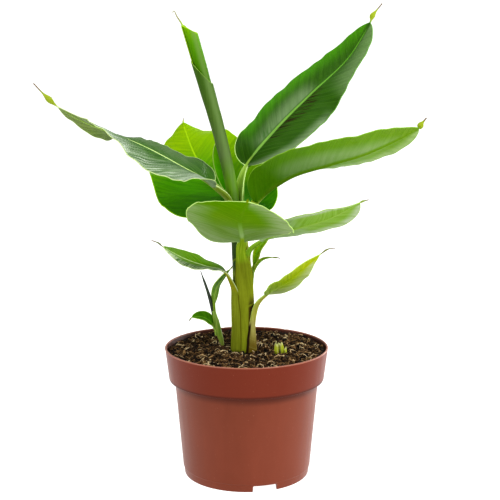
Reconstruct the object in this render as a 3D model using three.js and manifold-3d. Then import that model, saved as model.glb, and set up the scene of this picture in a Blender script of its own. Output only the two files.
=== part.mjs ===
// Young dwarf banana plant in a 12 cm nursery pot.
// Millimetres, +Z up, origin at the centre of the pot's flat underside. The front of the plant faces -Y.
import * as THREE from "three";
import { mergeVertices } from "three/addons/utils/BufferGeometryUtils.js";
import Module from "manifold-3d";

const wasm = await Module();
wasm.setup();

// Driving dimensions
const CLEAR = 0.3; // free space between two pieces that touch
const POT = {
  rimRadius: 60,
  height: 95,
  collarHeight: 23.6,
  collarRadius: 57, // at the collar's lower edge
  neckRadius: 52.9, // the body, just under the collar
  footRadius: 46,
  wall: 1.4,
  floorLift: 3.6, // the drained floor stands this far above the ground
  discRadius: 20, // the middle of the floor, which touches the ground
};
const NOTCH = { count: 3, first: -73, width: 18, height: 4.6, depth: 8 }; // vents in the foot ring
const DRAIN = { count: 6, radius: 4, circle: 33, sides: 12 };
const SOIL = { crown: 92, edge: 88.5, flatRadius: 34 };
const GROUND = SOIL.crown + CLEAR; // the flat cut at the foot of each stem
const LEAF_ACROSS = 2; // cells from the midrib to a margin
const STALK_CHANNEL = 52; // degrees that the sides of a leaf stalk are raised
const STEM_SIDES = 14;
const POT_SIDES = 44;
const SOIL_SIDES = 36;
const ROUTE_STEPS = 40; // measuring steps between two points of a leaf's midrib

// Finishes
const finish = (colour, roughness) =>
  new THREE.MeshStandardMaterial({ color: colour, roughness, metalness: 0 });
const LEAF_GREEN = () => finish(0x4f8a1e, 0.45);
const STEM_GREEN = () => finish(0x77731c, 0.5);

const plant = new THREE.Group();

// A closed surface from loops of equal length, with a fan over each end, turned to face outwards.
function loft(loops) {
  const count = loops[0].length;
  const points = loops.flat();
  const faces = [];
  for (let i = 0; i + 1 < loops.length; i++)
    for (let j = 0; j < count; j++) {
      const a = i * count + j;
      const b = i * count + ((j + 1) % count);
      faces.push([a, b, b + count], [a, b + count, a + count]);
    }
  const last = (loops.length - 1) * count;
  for (let j = 1; j + 1 < count; j++) {
    faces.push([0, j + 1, j]);
    faces.push([last, last + j, last + j + 1]);
  }
  return closedSurface(points, faces);
}

function closedSurface(points, faces) {
  const volume = faces.reduce(
    (sum, [a, b, c]) =>
      sum + points[a].dot(new THREE.Vector3().crossVectors(points[b], points[c])),
    0,
  );
  const geometry = new THREE.BufferGeometry();
  const flat = points.flatMap((p) => [p.x, p.y, p.z]);
  geometry.setAttribute("position", new THREE.Float32BufferAttribute(flat, 3));
  geometry.setIndex(faces.flatMap(([a, b, c]) => (volume < 0 ? [a, c, b] : [a, b, c])));
  return geometry;
}

// Solids for the cuts and joins
function solid(geometry) {
  const bare = geometry.clone();
  bare.deleteAttribute("normal");
  bare.deleteAttribute("uv");
  const merged = mergeVertices(bare, 1e-4);
  return new wasm.Manifold(
    new wasm.Mesh({
      numProp: 3,
      vertProperties: merged.attributes.position.array,
      triVerts: new Uint32Array(merged.index.array),
    }),
  );
}

function largest(shape) {
  return shape.decompose().reduce((a, b) => (a.volume() > b.volume() ? a : b));
}

function surface(shape) {
  const mesh = shape.getMesh();
  const geometry = new THREE.BufferGeometry();
  geometry.setAttribute("position", new THREE.BufferAttribute(mesh.vertProperties, 3));
  geometry.setIndex(new THREE.BufferAttribute(mesh.triVerts, 1));
  return geometry;
}

function addPiece(name, geometry, material) {
  const mesh = new THREE.Mesh(geometry, material);
  mesh.name = name;
  plant.add(mesh);
}

const point = ([x, y, z]) => new THREE.Vector3(x, y, z);
const mix = THREE.MathUtils.lerp;
const radians = THREE.MathUtils.degToRad;

// A value eased through evenly spaced settings, for t from 0 to 1.
function eased(settings, t) {
  const place = THREE.MathUtils.clamp(t, 0, 1) * (settings.length - 1);
  const i = Math.min(Math.floor(place), settings.length - 2);
  return mix(settings[i], settings[i + 1], THREE.MathUtils.smoothstep(place - i, 0, 1));
}

// -1 at the first step, 1 at the last and 0 between, to lengthen a grown copy at both ends.
const endOf = (i, last) => (i === 0 ? -1 : i === last ? 1 : 0);

// A round stem along a curve, with its radius eased through the given settings.
function stem({ axis, radii, steps }, grow = 0) {
  const curve = new THREE.CatmullRomCurve3(axis.map(point));
  const loops = [];
  for (let i = 0; i <= steps; i++) {
    const along = curve.getTangentAt(i / steps);
    const centre = curve.getPointAt(i / steps).addScaledVector(along, grow * endOf(i, steps));
    const side = new THREE.Vector3(1, 0, 0).addScaledVector(along, -along.x).normalize();
    const back = new THREE.Vector3().crossVectors(along, side);
    const radius = eased(radii, i / steps) + grow;
    const loop = [];
    for (let k = 0; k < STEM_SIDES; k++) {
      const turn = (2 * Math.PI * k) / STEM_SIDES;
      loop.push(
        centre
          .clone()
          .addScaledVector(side, radius * Math.cos(turn))
          .addScaledVector(back, radius * Math.sin(turn)),
      );
    }
    loops.push(loop);
  }
  // A stem that starts on the soil has a level cut there.
  const foot = axis[0][2];
  if (foot === GROUND) loops[0].forEach((p) => (p.z = foot - grow));
  return loft(loops);
}

// The outline of a banana blade: 0 at its base and tip, 1 at its widest.
function outline(t, fullness) {
  const [base, tip] = fullness;
  const widest = base / (base + tip);
  const peak = widest ** base * (1 - widest) ** tip;
  return (Math.max(t, 0) ** base * Math.max(1 - t, 0) ** tip) / peak;
}

// One leaf: a channelled stalk, a blade folded and rolled about its midrib, and a drip tip.
// leftLift and rightLift are the degrees each half of the blade is raised, from base to tip.
const LEAF_FACES_UP = 60; // degrees above level that a blade's upper side looks, back towards the stem
const RIB_FADES = 0.4; // share of the blade after which the midrib is no thicker than the blade
const CROWDED_ENDS = 0.7; // how far the cross sections gather at the blade's two ends
const BULB = { place: 0.4, reach: 0.22 }; // the swelling on the drip tip, in shares of its length

function leaf(spec, grow = 0) {
  const { stalk, blade, tip } = spec;
  const route = [...stalk, ...blade, ...tip].map(point);
  const curve = new THREE.CatmullRomCurve3(route);
  const lengths = curve.getLengths(ROUTE_STEPS * (route.length - 1));
  const total = lengths[lengths.length - 1];
  const bladeStart = lengths[ROUTE_STEPS * stalk.length] / total;
  const bladeEnd = lengths[ROUTE_STEPS * (stalk.length + blade.length - 1)] / total;
  const facing = radians(spec.heading);
  const level = -Math.cos(radians(LEAF_FACES_UP));
  const up = new THREE.Vector3(
    level * Math.cos(facing),
    level * Math.sin(facing),
    Math.sin(radians(LEAF_FACES_UP)),
  );
  const places = [];
  for (let i = 0; i < spec.stalkSteps; i++) places.push((bladeStart * i) / spec.stalkSteps);
  for (let i = 0; i < spec.bladeSteps; i++) {
    const t = 0.5 - 0.5 * Math.cos((Math.PI * i) / spec.bladeSteps);
    places.push(mix(bladeStart, bladeEnd, mix(i / spec.bladeSteps, t, CROWDED_ENDS)));
  }
  for (let i = 0; i <= spec.tipSteps; i++) places.push(mix(bladeEnd, 1, i / spec.tipSteps));

  const loops = places.map((place, i) => {
    const along = curve.getTangentAt(place);
    const centre = curve.getPointAt(place).addScaledVector(along, grow * endOf(i, places.length - 1));
    const normal = up.clone().addScaledVector(along, -up.dot(along)).normalize();
    const side = new THREE.Vector3().crossVectors(along, normal);
    const onStalk = THREE.MathUtils.clamp(1 - place / bladeStart, 0, 1);
    const t = (place - bladeStart) / (bladeEnd - bladeStart);
    const onTip = THREE.MathUtils.clamp((place - bladeEnd) / (1 - bladeEnd), 0, 1);
    const stalkHalf = mix(spec.neck, spec.foot, onStalk) * (t > 0 ? 1 - Math.min(t, 1) : 1);
    const bulb = onTip > 0 ? spec.bulb * Math.exp(-(((onTip - BULB.place) / BULB.reach) ** 2)) : 0;
    const bladeHalf = spec.halfWidth * outline(t, spec.fullness);
    const half = Math.max(stalkHalf, bladeHalf, spec.thickness / 2, bulb) + grow;
    const faded = THREE.MathUtils.clamp(t / RIB_FADES, 0, 1);
    const ribThick = mix(spec.rib, spec.thickness, faded);
    const thick = mix(ribThick, spec.footThick, onStalk) + 2 * grow;
    const row = [];
    for (const [direction, settings] of [[-1, spec.leftLift], [1, spec.rightLift]]) {
      const raised = radians(mix(eased(settings, t), STALK_CHANNEL, Math.min(1, onStalk * 2)));
      const outward = side
        .clone()
        .multiplyScalar(direction * Math.cos(raised))
        .addScaledVector(normal, Math.sin(raised));
      const facingUp = side
        .clone()
        .multiplyScalar(-direction * Math.sin(raised))
        .addScaledVector(normal, Math.cos(raised));
      const cells = [];
      for (let j = 1; j <= LEAF_ACROSS; j++) {
        const middle = centre.clone().addScaledVector(outward, (half * j) / LEAF_ACROSS);
        const depth = mix(thick, Math.min(thick, spec.thickness + 2 * grow), j / LEAF_ACROSS);
        cells.push({ middle, facingUp, depth });
      }
      row.push(cells);
    }
    const ridge = { middle: centre, facingUp: normal, depth: thick };
    const across = [...row[0].reverse(), ridge, ...row[1]];
    const top = across.map((c) => c.middle.clone().addScaledVector(c.facingUp, c.depth / 2));
    const under = across.map((c) => c.middle.clone().addScaledVector(c.facingUp, -c.depth / 2));
    return [...top, ...under.reverse()];
  });
  return loft(loops);
}

// The pot: one moulded shell turned about its axis, with a stepped collar, a raised floor and a foot ring.
function potProfile() {
  const { rimRadius, height, collarHeight, collarRadius, neckRadius, footRadius } = POT;
  const { wall, floorLift, discRadius } = POT;
  const shoulder = height - collarHeight;
  return [
    [0, 0],
    [discRadius, 0],
    [discRadius + 3, floorLift],
    [footRadius - 3.2, floorLift],
    [footRadius - 1.6, 0],
    [footRadius, 0],
    [footRadius + 0.7, 5.4],
    [footRadius + 1.1, 5.8],
    [neckRadius, shoulder],
    [collarRadius - 0.9, shoulder],
    [collarRadius, shoulder + 1.2],
    [rimRadius - 0.3, height - 0.8],
    [rimRadius, height - 0.4],
    [rimRadius - 0.5, height],
    [rimRadius - wall, height],
    [collarRadius - wall, shoulder + wall],
    [neckRadius - wall, shoulder - 0.6],
    [footRadius - 0.7, floorLift + wall + 1],
    [footRadius - 2, floorLift + wall],
    [discRadius + 2, floorLift + wall],
    [discRadius - 1, wall],
    [0, wall],
  ];
}

function turned(profile, segments) {
  return new THREE.LatheGeometry(
    profile.map(([r, z]) => new THREE.Vector2(r, z)),
    segments,
  ).rotateX(Math.PI / 2);
}

function pot() {
  let shell = solid(turned(potProfile(), POT_SIDES));
  for (let i = 0; i < NOTCH.count; i++) {
    const turn = radians(NOTCH.first + (360 / NOTCH.count) * i);
    const vent = new THREE.BoxGeometry(NOTCH.depth, NOTCH.width, NOTCH.height * 2);
    vent.translate(POT.footRadius, 0, 0).rotateZ(turn);
    shell = shell.subtract(solid(vent));
  }
  for (let i = 0; i < DRAIN.count; i++) {
    const turn = radians(NOTCH.first + (360 / DRAIN.count) * (i + 0.5));
    const hole = new THREE.CylinderGeometry(DRAIN.radius, DRAIN.radius, POT.floorLift * 4, DRAIN.sides);
    hole.rotateX(Math.PI / 2).translate(DRAIN.circle, 0, 0).rotateZ(turn);
    shell = shell.subtract(solid(hole));
  }
  return surface(shell);
}

function soil() {
  const { neckRadius, collarRadius, rimRadius, height, collarHeight, wall, footRadius } = POT;
  const { floorLift, discRadius } = POT;
  const shoulder = height - collarHeight;
  const floor = floorLift + wall;
  const inset = wall + CLEAR * 2; // two clearances, as the facets of pot and soil don't line up
  const edgeShare = (SOIL.edge - shoulder) / collarHeight;
  const edgeRadius = mix(collarRadius, rimRadius, edgeShare) - inset;
  const slope = [mix(SOIL.flatRadius, edgeRadius, 0.45), mix(SOIL.crown, SOIL.edge, 0.35)];
  return turned(
    [
      [0, wall + CLEAR],
      [discRadius - 2.5, wall + CLEAR],
      [discRadius + 1.2, floor + CLEAR],
      [footRadius - 2.6, floor + CLEAR],
      [footRadius - 1.3, floor + 1.4],
      [neckRadius - inset, shoulder + 0.2],
      [collarRadius - inset, shoulder + wall + 1],
      [edgeRadius, SOIL.edge],
      slope,
      [SOIL.flatRadius, SOIL.crown],
      [0, SOIL.crown],
    ],
    SOIL_SIDES,
  );
}

addPiece("pot", pot(), finish(0x80402b, 0.45));
addPiece("soil", soil(), finish(0x3a2c20, 0.95));

// The pseudostem, from its flat cut on the soil to the crown, and the rolled young leaf that stands on it.
const pseudostem = {
  axis: [
    [-2.2, 0, GROUND],
    [-2.4, 0, 112],
    [-2.9, 0, 140],
    [-4, 0, 162],
    [-5.6, 0, 180],
    [-7.6, 0, 194],
  ],
  radii: [8.1, 7.3, 7.4, 7, 6.6, 6, 4.6],
  steps: 10,
};
const spear = {
  axis: [
    [-7.7, 0, 194 + CLEAR],
    [-11.6, 0, 217],
    [-19.6, 0, 252],
    [-27.4, 0, 280],
    [-37, 0, 314],
    [-41.5, 0, 323],
    [-45.4, 0, 327],
    [-48.6, 0, 332],
    [-50.7, 0, 336.4],
  ],
  radii: [3.6, 3.6, 3.9, 4.2, 4.6, 4.6, 4.4, 4.3, 2, 0.8, 0.8],
  steps: 20,
};

// The leaves, from the oldest at the foot of the stem to the youngest in the crown.
const largeLeaf = { stalkSteps: 5, bladeSteps: 17, tipSteps: 7, thickness: 2, rib: 3.4, foot: 5, neck: 3.2 };
const smallLeaf = { stalkSteps: 5, bladeSteps: 12, tipSteps: 5, thickness: 1.3, rib: 2, foot: 4, neck: 1.7 };
const shootLeaf = {
  stalkSteps: 1,
  bladeSteps: 8,
  tipSteps: 2,
  thickness: 0.8,
  rib: 1.1,
  foot: 0.9,
  footThick: 1.4,
  neck: 0.9,
  fullness: [0.5, 0.7],
  leftLift: [25, 20],
  rightLift: [25, 20],
  bulb: 0.4,
};
const LEAVES = {
  leaf_lower_right: {
    ...smallLeaf,
    heading: -20,
    stalk: [[5.8, -2.5, GROUND], [6, -3.5, 113], [8, -5, 128]],
    blade: [[14, -6, 135], [27, -11, 144], [39, -18, 155], [52, -21, 167]],
    tip: [[58, -21, 171], [63, -21, 171]],
    halfWidth: 15,
    fullness: [0.49, 0.78],
    leftLift: [-24, -29, -22, -19, -15],
    rightLift: [12, 16, 13, 16, 16],
    foot: 6,
    footThick: 3,
    bulb: 0.7,
  },
  leaf_lower_left: {
    ...smallLeaf,
    heading: 195,
    stalk: [[-7, -4, 118], [-9.5, -5.5, 138]],
    blade: [[-15, -7, 152], [-29, -8, 156], [-44, -11, 162], [-59, -18, 172]],
    tip: [[-62, -20, 175], [-67, -20, 177]],
    halfWidth: 14,
    fullness: [0.5, 0.72],
    leftLift: [-2, -4, -13, -21, -24],
    rightLift: [11, 18, 21, 18, 14],
    footThick: 2.6,
    bulb: 0.7,
  },
  leaf_front: {
    ...largeLeaf,
    heading: -92,
    stalk: [[-3.8, -6.5, 150], [-4, -9, 166]],
    blade: [[-3, -17, 176], [-4, -66, 197], [1, -131, 219]],
    tip: [[1, -133, 220], [1.5, -135, 221]],
    halfWidth: 36.5,
    fullness: [0.48, 0.7],
    leftLift: [1, -4, -11, -10, -6],
    rightLift: [-13, 6, 9, 10, 6],
    footThick: 3,
    tipSteps: 2,
    bulb: 1.4,
  },
  leaf_mid_right: {
    ...smallLeaf,
    heading: -22,
    stalk: [[-1, -4.5, 156], [4, -7, 168]],
    blade: [[11, -9, 175], [32, -17, 184], [57, -25, 193], [78, -37, 206]],
    tip: [[80, -37, 207], [84, -37, 208]],
    halfWidth: 22.5,
    fullness: [0.51, 0.69],
    leftLift: [-10, -16, -19, -29, -32],
    rightLift: [24, 22, 22, 23, 8],
    footThick: 2.6,
    neck: 2.4,
    bulb: 0.9,
  },
  leaf_left: {
    ...largeLeaf,
    heading: 185,
    stalk: [[-7, -2.5, 182], [-13, -4.5, 203]],
    blade: [
      [-23, -9, 215],
      [-43, -11, 227],
      [-67, -17, 241],
      [-92, -17, 252],
      [-112, -18, 260],
      [-129, -28, 271],
    ],
    tip: [[-136, -32, 278], [-144, -34, 287]],
    halfWidth: 27.5,
    fullness: [0.41, 0.8],
    leftLift: [18, -14, -25, -5, 17, 20],
    rightLift: [34, 15, 4, 8, -30, -22],
    bladeSteps: 20,
    footThick: 3,
    bulb: 2.6,
  },
  leaf_right: {
    ...largeLeaf,
    heading: -20,
    stalk: [[-2, -2.5, 180], [3, -3, 196]],
    blade: [[9, 0, 204], [31, -12, 221], [58, -25, 231], [84, -34, 240], [117, -36, 257]],
    tip: [[119, -37, 260], [122, -38, 264]],
    halfWidth: 30,
    fullness: [0.46, 0.64],
    leftLift: [25, -3, -10, -14, -35],
    rightLift: [55, 36, 35, 32, 26],
    tipSteps: 4,
    footThick: 3,
    bulb: 3.2,
  },
  leaf_back: {
    ...largeLeaf,
    heading: 110,
    stalk: [[-6.5, 3, 180], [-8, 5, 193]],
    blade: [[-12, 9, 202], [-23, 46, 207], [-39, 78, 225], [-52, 121, 251]],
    tip: [[-52, 124, 252.5], [-52, 126, 254]],
    halfWidth: 45.5,
    fullness: [0.28, 0.62],
    leftLift: [-31, -15, -5, -29, -43],
    rightLift: [-23, 6, 13, 28, -14],
    tipSteps: 2,
    footThick: 3,
    bulb: 1,
  },
  leaf_upper_right: {
    ...largeLeaf,
    heading: 25,
    stalk: [[-3, 1, 188], [-3, 1.5, 205], [-2.5, 5, 217]],
    blade: [[0, 10, 227], [20, 20, 251], [47, 33, 277], [75, 40, 303], [91, 43, 329]],
    tip: [[93, 45, 334], [100, 46, 343]],
    halfWidth: 32,
    fullness: [0.47, 0.68],
    leftLift: [38, 13, 14, 17, 21],
    rightLift: [-1, -19, -20, -4, -16],
    footThick: 3,
    bulb: 2.2,
  },
};

// Each piece is cut clear of those already made, as each sheath lies on the one inside it.
const made = [];
function addFitted(name, shapeAt, material) {
  let shape = solid(shapeAt(0));
  for (const earlier of made) shape = shape.subtract(earlier);
  addPiece(name, surface(largest(shape)), material);
  made.push(solid(shapeAt(CLEAR)));
}

addFitted("pseudostem", (grow) => stem(pseudostem, grow), STEM_GREEN());
addFitted("spear_leaf", (grow) => stem(spear, grow), LEAF_GREEN());
for (const [name, spec] of Object.entries(LEAVES))
  addFitted(name, (grow) => leaf(spec, grow), LEAF_GREEN());

// The free edge of the young leaf stands off the back of its roll.
const spearFlap = {
  ...shootLeaf,
  heading: 90,
  stalk: [[-9.6, 4, 199]],
  blade: [[-11, 5, 204], [-16, 7.5, 226], [-19, 6.5, 247]],
  tip: [[-20, 6, 250]],
  halfWidth: 8,
  fullness: [0.7, 0.5],
  leftLift: [10, 10],
  rightLift: [10, 10],
};
addFitted("spear_flap", (grow) => leaf(spearFlap, grow), LEAF_GREEN());

// Two side shoots at the foot of the stem, each a short stem with its leaves.
const SHOOTS = {
  shoot_left: {
    axis: [[-18.2, 8, GROUND], [-21.6, 8, 106], [-24.4, 8, 119.5]],
    radii: [2.2, 1.9, 1.5],
    steps: 5,
  },
  shoot_left_spear: {
    axis: [[-24.6, 8, 119.5 + CLEAR], [-27.6, 8, 131], [-33.7, 8, 149.5]],
    radii: [1.3, 1.2, 0.6],
    steps: 5,
  },
  shoot_right: {
    axis: [[2, 13, GROUND], [2.6, 12.5, 125], [4.6, 12, 150]],
    radii: [1.9, 1.6, 1.2],
    steps: 6,
  },
};
const SHOOT_LEAVES = {
  shoot_left_leaf_low: {
    heading: 190,
    stalk: [[-22, 8, 103]],
    blade: [[-25, 7.5, 109], [-32, 6, 115], [-40.3, 4, 115.4]],
    tip: [[-41.5, 4, 114]],
    halfWidth: 4,
  },
  shoot_left_leaf_high: {
    heading: 10,
    stalk: [[-23.5, 8, 117]],
    blade: [[-24, 8, 125], [-21.7, 8, 137], [-16.5, 8, 145], [-11.8, 8, 151]],
    tip: [[-11, 8, 152]],
    halfWidth: 3.4,
  },
  shoot_right_leaf_high: {
    heading: 20,
    stalk: [[4.2, 12, 147]],
    blade: [[5.5, 12, 153], [7.9, 12, 163], [13.4, 12, 171], [18.7, 12, 178]],
    tip: [[20, 12, 180]],
    halfWidth: 4,
  },
  shoot_right_leaf_low: {
    heading: 5,
    stalk: [[4, 12, 146]],
    blade: [[6.5, 12.5, 151], [12, 12.5, 157], [19, 12, 158.8]],
    tip: [[23, 12, 158.6]],
    halfWidth: 3,
  },
};
for (const [name, spec] of Object.entries(SHOOTS))
  addFitted(name, (grow) => stem(spec, grow), LEAF_GREEN());
for (const [name, spec] of Object.entries(SHOOT_LEAVES))
  addFitted(name, (grow) => leaf({ ...shootLeaf, ...spec }, grow), LEAF_GREEN());

// A third shoot, cut back to a ragged stub of three short blades that lean apart.
const STUB = { x: 24.3, y: -11, radii: [1.8, 1.5, 0.8] };
const STUB_BLADES = [
  { lean: [-3.2, 0.6], height: 8.4 },
  { lean: [0.3, -0.8], height: 10 },
  { lean: [3, 0.6], height: 9 },
];
function cutShoot() {
  const blades = STUB_BLADES.map(({ lean: [dx, dy], height }) => {
    const foot = [STUB.x + dx / 2, STUB.y + dy / 2, GROUND];
    const top = [STUB.x + dx, STUB.y + dy, GROUND + height];
    return solid(stem({ axis: [foot, top], radii: STUB.radii, steps: 2 }));
  });
  return surface(blades.reduce((joined, blade) => joined.add(blade)));
}
addPiece("cut_shoot", cutShoot(), finish(0xa8b83c, 0.55));

export default plant;
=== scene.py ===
# A young banana plant in a plastic nursery pot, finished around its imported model.
# Metres, +Z up. The front of the plant faces -Y, and +X is the viewer's right.
import math
import random

import bmesh
import bpy
import numpy as np
from mathutils import Matrix, Vector, noise


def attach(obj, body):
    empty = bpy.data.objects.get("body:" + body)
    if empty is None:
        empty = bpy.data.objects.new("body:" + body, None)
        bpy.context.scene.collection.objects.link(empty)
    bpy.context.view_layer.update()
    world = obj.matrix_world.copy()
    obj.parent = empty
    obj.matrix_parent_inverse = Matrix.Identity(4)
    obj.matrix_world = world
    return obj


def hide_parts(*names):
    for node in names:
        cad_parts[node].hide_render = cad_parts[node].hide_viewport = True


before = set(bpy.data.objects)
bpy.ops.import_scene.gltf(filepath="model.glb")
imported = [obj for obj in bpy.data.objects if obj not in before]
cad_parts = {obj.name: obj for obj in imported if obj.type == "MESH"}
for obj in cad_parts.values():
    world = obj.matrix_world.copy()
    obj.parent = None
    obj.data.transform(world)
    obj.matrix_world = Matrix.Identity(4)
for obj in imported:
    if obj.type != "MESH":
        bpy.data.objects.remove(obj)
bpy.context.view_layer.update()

# The studio. A wide pale floor runs out into a white surround, as on a light table. The key lamp
# stands high on the right, a soft one hangs overhead, and three more stand round the plant.
MM = 0.001
LAMPS = dict(
    lamp_key=((0.75, -0.75, 1.25), 0.5, 15),
    lamp_left=((-1.3, -0.4, 0.9), 0.8, 4),
    lamp_top=((-0.35, -0.05, 1.5), 0.9, 7),
    lamp_behind=((0.9, 1.2, 0.6), 0.7, 9),
    lamp_right=((1.3, 0.45, 0.3), 0.7, 6),
)
LAMPS_AIM = (0, 0, 0.18)
FLOOR = dict(radius=6, shade=(0.3, 0.3, 0.3, 1), glow=0.88)
CAMERA = dict(place=(0.00256, -0.807, 0.3084), tilt=80.03, lens=81.45, sensor=36)


def paint(red, green, blue):
    """Linear colour of a paint given by its 0 to 255 values."""
    shares = [c / 255 for c in (red, green, blue)]
    return tuple(s / 12.92 if s <= 0.04045 else ((s + 0.055) / 1.055) ** 2.4 for s in shares) + (1,)


def new_finish(name, roughness, specular=0.5):
    """A material with one Principled shader. Returns it with that shader."""
    finish = bpy.data.materials.new(name)
    finish.use_nodes = True
    shader = finish.node_tree.nodes["Principled BSDF"]
    shader.inputs["Roughness"].default_value = roughness
    shader.inputs["Specular IOR Level"].default_value = specular
    return finish, shader


def feed(socket, value):
    """Links a node's output to a socket, or sets the socket's own value."""
    if isinstance(value, bpy.types.NodeSocket):
        socket.id_data.links.new(value, socket)
    else:
        socket.default_value = value


def put(near, kind, inputs, output=0, **settings):
    """Adds a shader node beside another, feeds it with values or outputs, and returns one output."""
    node = near.id_data.nodes.new("ShaderNode" + kind)
    for key, value in settings.items():
        setattr(node, key, value)
    for key, value in inputs.items():
        feed(node.inputs[key], value)
    return node.outputs[output]


def place_on(shader):
    """The place on the object that is being painted."""
    return put(shader, "TexCoord", {}, "Object")


def axis_of(place, axis):
    return put(place, "SeparateXYZ", {"Vector": place}, axis)


def sum_of(operation, first, second=0.0, third=0.0):
    return put(first, "Math", {0: first, 1: second, 2: third}, operation=operation)


def times(first, second):
    return sum_of("MULTIPLY", first, second)


def faded(value, low, high, first=0.0, last=1.0):
    """Eases a value between two limits into the range first to last."""
    limits = {"Value": value, "From Min": low, "From Max": high, "To Min": first, "To Max": last}
    return put(value, "MapRange", limits, interpolation_type="SMOOTHSTEP")


def tinted(share, first, second, how="MIX"):
    """Mixes two colours by a share. Each is a node's output or a paint."""
    first, second = (c if isinstance(c, bpy.types.NodeSocket) else paint(*c) for c in (first, second))
    return put(share, "Mix", {0: share, 6: first, 7: second}, 2, data_type="RGBA", blend_type=how)


def laid(colour, tint, value, low, high, amount=1.0):
    """Lays a tint over a colour, more and more from one limit of a value to the other."""
    return tinted(faded(value, low, high, 0.0, amount), colour, tint)


def graded(value, *stops):
    """Runs a value through paints set at given places from 0 to 1."""
    colour = put(value, "ValToRGB", {0: value})
    ramp = colour.node.color_ramp
    while len(ramp.elements) < len(stops):
        ramp.elements.new(0.5)
    while len(ramp.elements) > len(stops):
        ramp.elements.remove(ramp.elements[-1])
    for element, (place, tint) in zip(ramp.elements, stops):
        element.position, element.color = place, paint(*tint)
    return colour


def grain(place, cells, detail=3.0, roughness=0.55):
    """Noise from 0 to 1, with as many cells to the metre, or so many along each axis."""
    cells = cells if isinstance(cells, tuple) else (cells,) * 3
    scaled = put(place, "Mapping", {"Vector": place, "Scale": cells})
    return put(place, "TexNoise", {"Vector": scaled, "Scale": 1.0, "Detail": detail, "Roughness": roughness})


def relief(shader, height, distance, strength):
    bump = put(shader, "Bump", {"Height": height, "Distance": distance, "Strength": strength})
    feed(shader.inputs["Normal"], bump)


def mesh_of(name, shape):
    mesh = bpy.data.meshes.new(name)
    shape.to_mesh(mesh)
    shape.free()
    return mesh


def stood(name, data):
    """Puts a named object into the scene."""
    thing = bpy.data.objects.new(name, data)
    bpy.context.scene.collection.objects.link(thing)
    return thing


def studio():
    scene = bpy.context.scene
    world = bpy.data.worlds.new("white_surround")
    world.use_nodes = True
    background = world.node_tree.nodes["Background"]
    background.inputs["Color"].default_value = (1, 1, 1, 1)
    height = axis_of(put(background, "TexCoord", {}, "Generated"), "Z")
    feed(background.inputs["Strength"], faded(height, 0.12, 0.6, 1.0, 0.42))
    scene.world = world

    shape = bmesh.new()
    bmesh.ops.create_circle(shape, cap_ends=True, radius=FLOOR["radius"], segments=96)
    floor = stood("floor", mesh_of("floor", shape))
    finish, shader = new_finish("white_table", 0.9, 0.0)
    shader.inputs["Base Color"].default_value = FLOOR["shade"]
    shader.inputs["Emission Color"].default_value = (1, 1, 1, 1)
    shader.inputs["Emission Strength"].default_value = FLOOR["glow"]
    floor.data.materials.append(finish)

    for name, (place, size, power) in LAMPS.items():
        light = bpy.data.lights.new(name, "AREA")
        light.size, light.energy = size, power
        lamp = stood(name, light)
        lamp.location = place
        aim = Vector(LAMPS_AIM) - lamp.location
        lamp.rotation_euler = aim.to_track_quat("-Z", "Y").to_euler()

    view = bpy.data.cameras.new("camera")
    view.sensor_width, view.lens = CAMERA["sensor"], CAMERA["lens"]
    camera = stood("camera", view)
    camera.location = CAMERA["place"]
    camera.rotation_euler = (math.radians(CAMERA["tilt"]), 0, 0)
    scene.camera = camera
    scene.view_settings.view_transform = "Standard"
    scene.view_settings.look = "Medium High Contrast"


studio()

# The pot is one thin moulding in terracotta-coloured plastic, with a stepped collar, a foot ring
# with three vents and a drained floor. It is spun from its half section and its rings are rounded.
POT = dict(rim=60, height=95, collar_height=23.6, collar=57, neck=52.9, foot=46, wall=1.4, lift=3.6, disc=20)
POT_SIDES, RING_ROUNDING, VENT_ROUNDING = 240, 0.22, 0.6
VENTS = dict(count=3, first=-73, width=18, height=4.6, depth=8)
DRAINS = dict(count=6, radius=4, circle=33, depth=20)
SHOULDER = POT["height"] - POT["collar_height"]


def turned(profile, steps):
    """A shape spun from a half section of (radius, height) points in millimetres."""
    shape = bmesh.new()
    points = [shape.verts.new((r * MM, 0, z * MM)) for r, z in profile]
    edges = [shape.edges.new(pair) for pair in zip(points, points[1:])]
    around = dict(axis=(0, 0, 1), cent=(0, 0, 0), angle=math.tau, steps=steps, use_merge=True)
    bmesh.ops.spin(shape, geom=points + edges, **around)
    bmesh.ops.remove_doubles(shape, verts=shape.verts, dist=1e-6)
    bmesh.ops.recalc_face_normals(shape, faces=shape.faces)
    return shape


def set_piece(name, shape, finish, slot, *nodes):
    """Turns a shape into a named piece of the plant that stands for its nodes."""
    piece = stood(name, mesh_of(name, shape))
    piece.data.materials.append(finish)
    piece.data.polygons.foreach_set("use_smooth", [True] * len(piece.data.polygons))
    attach(piece, "root")
    if nodes:
        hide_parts(*nodes)
    return piece


def pot_profile():
    """The pot's half section, out along its underside, up its outer face and back down its inner one."""
    rim, height, collar, neck, foot = (POT[k] for k in ("rim", "height", "collar", "neck", "foot"))
    wall, lift, disc = POT["wall"], POT["lift"], POT["disc"]
    under = [(0, 0), (disc, 0), (disc + 3, lift), (foot - 3.2, lift), (foot - 1.6, 0), (foot, 0)]
    outer = [(foot + 0.7, 5.4), (foot + 1.1, 5.8), (neck, SHOULDER), (collar - 0.3, SHOULDER)]
    outer += [(collar, SHOULDER + 0.5), (rim - 0.3, height - 0.8), (rim, height - 0.4)]
    lip = [(rim - 0.5, height), (rim - wall, height)]
    inner = [(collar - wall, SHOULDER + wall), (neck - wall, SHOULDER - 0.6)]
    inner += [(foot - 0.7, lift + wall + 1), (foot - 2, lift + wall), (disc + 2, lift + wall)]
    return under + outer + lip + inner + [(disc - 1, wall), (0, wall)]


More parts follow.
